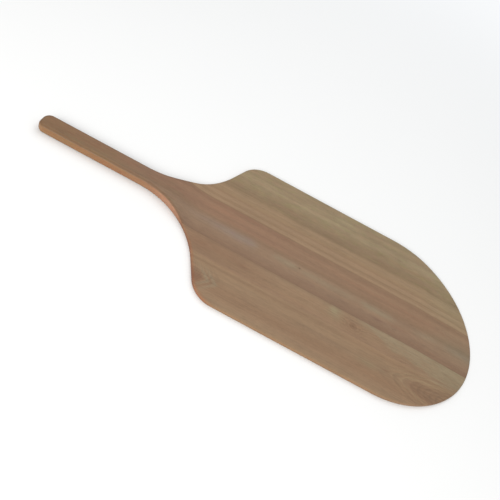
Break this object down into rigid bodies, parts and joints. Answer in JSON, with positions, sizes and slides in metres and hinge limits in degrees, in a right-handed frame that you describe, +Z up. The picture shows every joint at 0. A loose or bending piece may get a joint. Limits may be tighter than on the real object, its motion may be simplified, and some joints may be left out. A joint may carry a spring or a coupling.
{
  "type": "pizza peel",
  "caption": "Flat wooden peel for moving pizza in and out of an oven: glued-up boards, round thinned nose, and a handle that grows out of the middle board.",
  "frame": {"origin": "centre of the peel's footprint, on the flat underside that it rests on", "axes": "+X from the handle's butt towards the nose of the blade, +Y to the left of a cook who holds the handle, +Z up out of the working face"},
  "size_m": [0.914, 0.356, 0.019],
  "materials": {
    "middle_board_wood": "bare sanded wood, reddish brown with a pale bluish streak along the grain",
    "left_board_wood": "bare sanded wood, olive tan",
    "right_board_wood": "bare sanded wood, light tan with cathedral figure and a small knot"
  },
  "bodies": {
    "root": {"handle_board": "middle_board_wood", "left_side_board": "left_board_wood", "right_side_board": "right_board_wood"}
  },
  "joints": []
}
